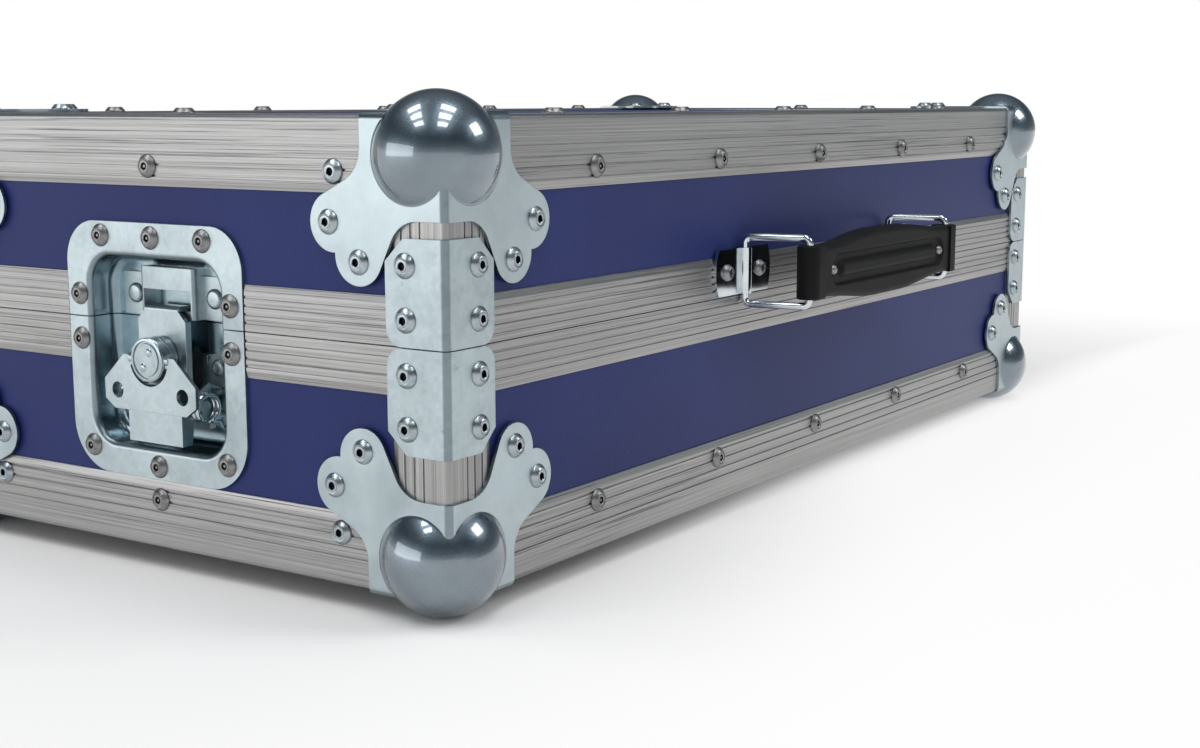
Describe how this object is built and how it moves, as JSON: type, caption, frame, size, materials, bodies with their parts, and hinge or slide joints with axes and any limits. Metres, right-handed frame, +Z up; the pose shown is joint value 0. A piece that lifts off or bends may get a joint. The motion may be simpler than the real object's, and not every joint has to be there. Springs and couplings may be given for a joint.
{
  "type": "lighting controller flight case",
  "caption": "Shallow flight case in blue laminate with aluminium edging, pressed ball corners, a recessed butterfly latch on each end, a strap handle and a lift-off lid.",
  "frame": {"origin": "on the floor under the middle of the whole object, handle included; the case body is centred on X = 0 and on Y = +14.8 mm", "axes": "+X along the long side, -Y is the handle side, +Z up; the latches are on the +X and -X ends"},
  "size_m": [0.6446, 0.3641, 0.2052],
  "materials": {
    "blue_laminate": "plywood faced with a fine-grained blue laminate",
    "edging": "satin extrusion",
    "ball_steel": "bright zinc on pressed steel",
    "zinc_steel": "zinc plated sheet",
    "bright_steel": "bright plated steel",
    "rivets": "plain steel blind rivets",
    "foam": "dark closed-cell foam",
    "grip": "fine-textured soft plastic"
  },
  "bodies": {
    "base": {"base_floor": "blue_laminate", "base_wall_front": "blue_laminate", "base_wall_right": "blue_laminate", "base_wall_back": "blue_laminate", "base_wall_left": "blue_laminate", "base_edge_front": "edging", "base_edge_right": "edging", "base_edge_back": "edging", "base_edge_left": "edging", "base_posts": "edging", "base_closing": "edging", "base_braces": "zinc_steel", "base_ball_front_left": "ball_steel", "base_ball_front_right": "ball_steel", "base_ball_back_right": "ball_steel", "base_ball_back_left": "ball_steel", "base_rivets": "rivets", "base_lining": "foam", "latch_left_dish": "zinc_steel", "latch_left_bracket": "zinc_steel", "latch_left_spring": "bright_steel", "latch_right_dish": "zinc_steel", "latch_right_bracket": "zinc_steel", "latch_right_spring": "bright_steel"},
    "lid": {"lid_top": "blue_laminate", "lid_wall_front": "blue_laminate", "lid_wall_right": "blue_laminate", "lid_wall_back": "blue_laminate", "lid_wall_left": "blue_laminate", "lid_edge_front": "edging", "lid_edge_right": "edging", "lid_edge_back": "edging", "lid_edge_left": "edging", "lid_posts": "edging", "lid_closing": "edging", "lid_braces": "zinc_steel", "lid_ball_front_left": "ball_steel", "lid_ball_front_right": "ball_steel", "lid_ball_back_right": "ball_steel", "lid_ball_back_left": "ball_steel", "lid_rivets": "rivets", "lid_lining": "foam", "latch_left_cap": "zinc_steel", "latch_left_keeper": "zinc_steel", "latch_right_cap": "zinc_steel", "latch_right_keeper": "zinc_steel", "handle_bracket_left": "zinc_steel", "handle_bracket_right": "zinc_steel"},
    "lever_left": {"latch_left_lever": "zinc_steel"},
    "hook_left": {"latch_left_hook": "zinc_steel"},
    "barrel_left": {"latch_left_barrel": "bright_steel"},
    "wing_left": {"latch_left_wing": "zinc_steel"},
    "lever_right": {"latch_right_lever": "zinc_steel"},
    "hook_right": {"latch_right_hook": "zinc_steel"},
    "barrel_right": {"latch_right_barrel": "bright_steel"},
    "wing_right": {"latch_right_wing": "zinc_steel"},
    "loop_left": {"handle_loop_left": "bright_steel"},
    "loop_right": {"handle_loop_right": "bright_steel"},
    "grip": {"handle_grip": "grip"}
  },
  "joints": [
    {"name": "lid_lift", "type": "slide", "parent": "base", "child": "lid", "axis": [0, 0, 1], "range_m": [0, 0.15]},
    {"name": "latch_left_tilt", "type": "hinge", "parent": "base", "child": "lever_left", "pos_m": [-0.3065, 0.01475, 0.0728], "axis": [0, -1, 0], "range_deg": [0, 25]},
    {"name": "latch_left_turn", "type": "hinge", "parent": "lever_left", "child": "barrel_left", "pos_m": [-0.3125, 0.01475, 0.0924], "axis": [-1, 0, 0], "range_deg": [0, 180]},
    {"name": "latch_left_draw", "type": "slide", "parent": "lever_left", "child": "hook_left", "axis": [0, 0, 1], "range_m": [0, 0.004]},
    {"name": "latch_left_fold", "type": "hinge", "parent": "barrel_left", "child": "wing_left", "pos_m": [-0.3141, 0.01475, 0.0924], "axis": [0, 1, 0], "range_deg": [0, 90]},
    {"name": "latch_right_tilt", "type": "hinge", "parent": "base", "child": "lever_right", "pos_m": [0.3065, 0.01475, 0.0728], "axis": [0, 1, 0], "range_deg": [0, 25]},
    {"name": "latch_right_turn", "type": "hinge", "parent": "lever_right", "child": "barrel_right", "pos_m": [0.3125, 0.01475, 0.0924], "axis": [1, 0, 0], "range_deg": [0, 180]},
    {"name": "latch_right_draw", "type": "slide", "parent": "lever_right", "child": "hook_right", "axis": [0, 0, 1], "range_m": [0, 0.004]},
    {"name": "latch_right_fold", "type": "hinge", "parent": "barrel_right", "child": "wing_right", "pos_m": [0.3141, 0.01475, 0.0924], "axis": [0, -1, 0], "range_deg": [0, 90]},
    {"name": "handle_swing", "type": "hinge", "parent": "lid", "child": "loop_left", "pos_m": [-0.084, -0.14475, 0.1197], "axis": [0, 0, 1], "range_deg": [-84, 60]},
    {"name": "handle_grip_pivot", "type": "hinge", "parent": "loop_left", "child": "grip", "pos_m": [-0.07735, -0.17605, 0.1197], "axis": [0, 0, 1], "range_deg": [-60, 84]},
    {"name": "handle_far_swing", "type": "hinge", "parent": "lid", "child": "loop_right", "pos_m": [0.084, -0.14475, 0.1197], "axis": [0, 0, 1], "range_deg": [-84, 60]}
  ],
  "couplings": [
    {"joint": "latch_left_draw", "follows": "latch_left_turn", "m_per_rad": 0.0012732},
    {"joint": "latch_right_draw", "follows": "latch_right_turn", "m_per_rad": 0.0012732},
    {"joint": "handle_grip_pivot", "follows": "handle_swing", "ratio": -1},
    {"joint": "handle_far_swing", "follows": "handle_swing", "ratio": 1}
  ]
}
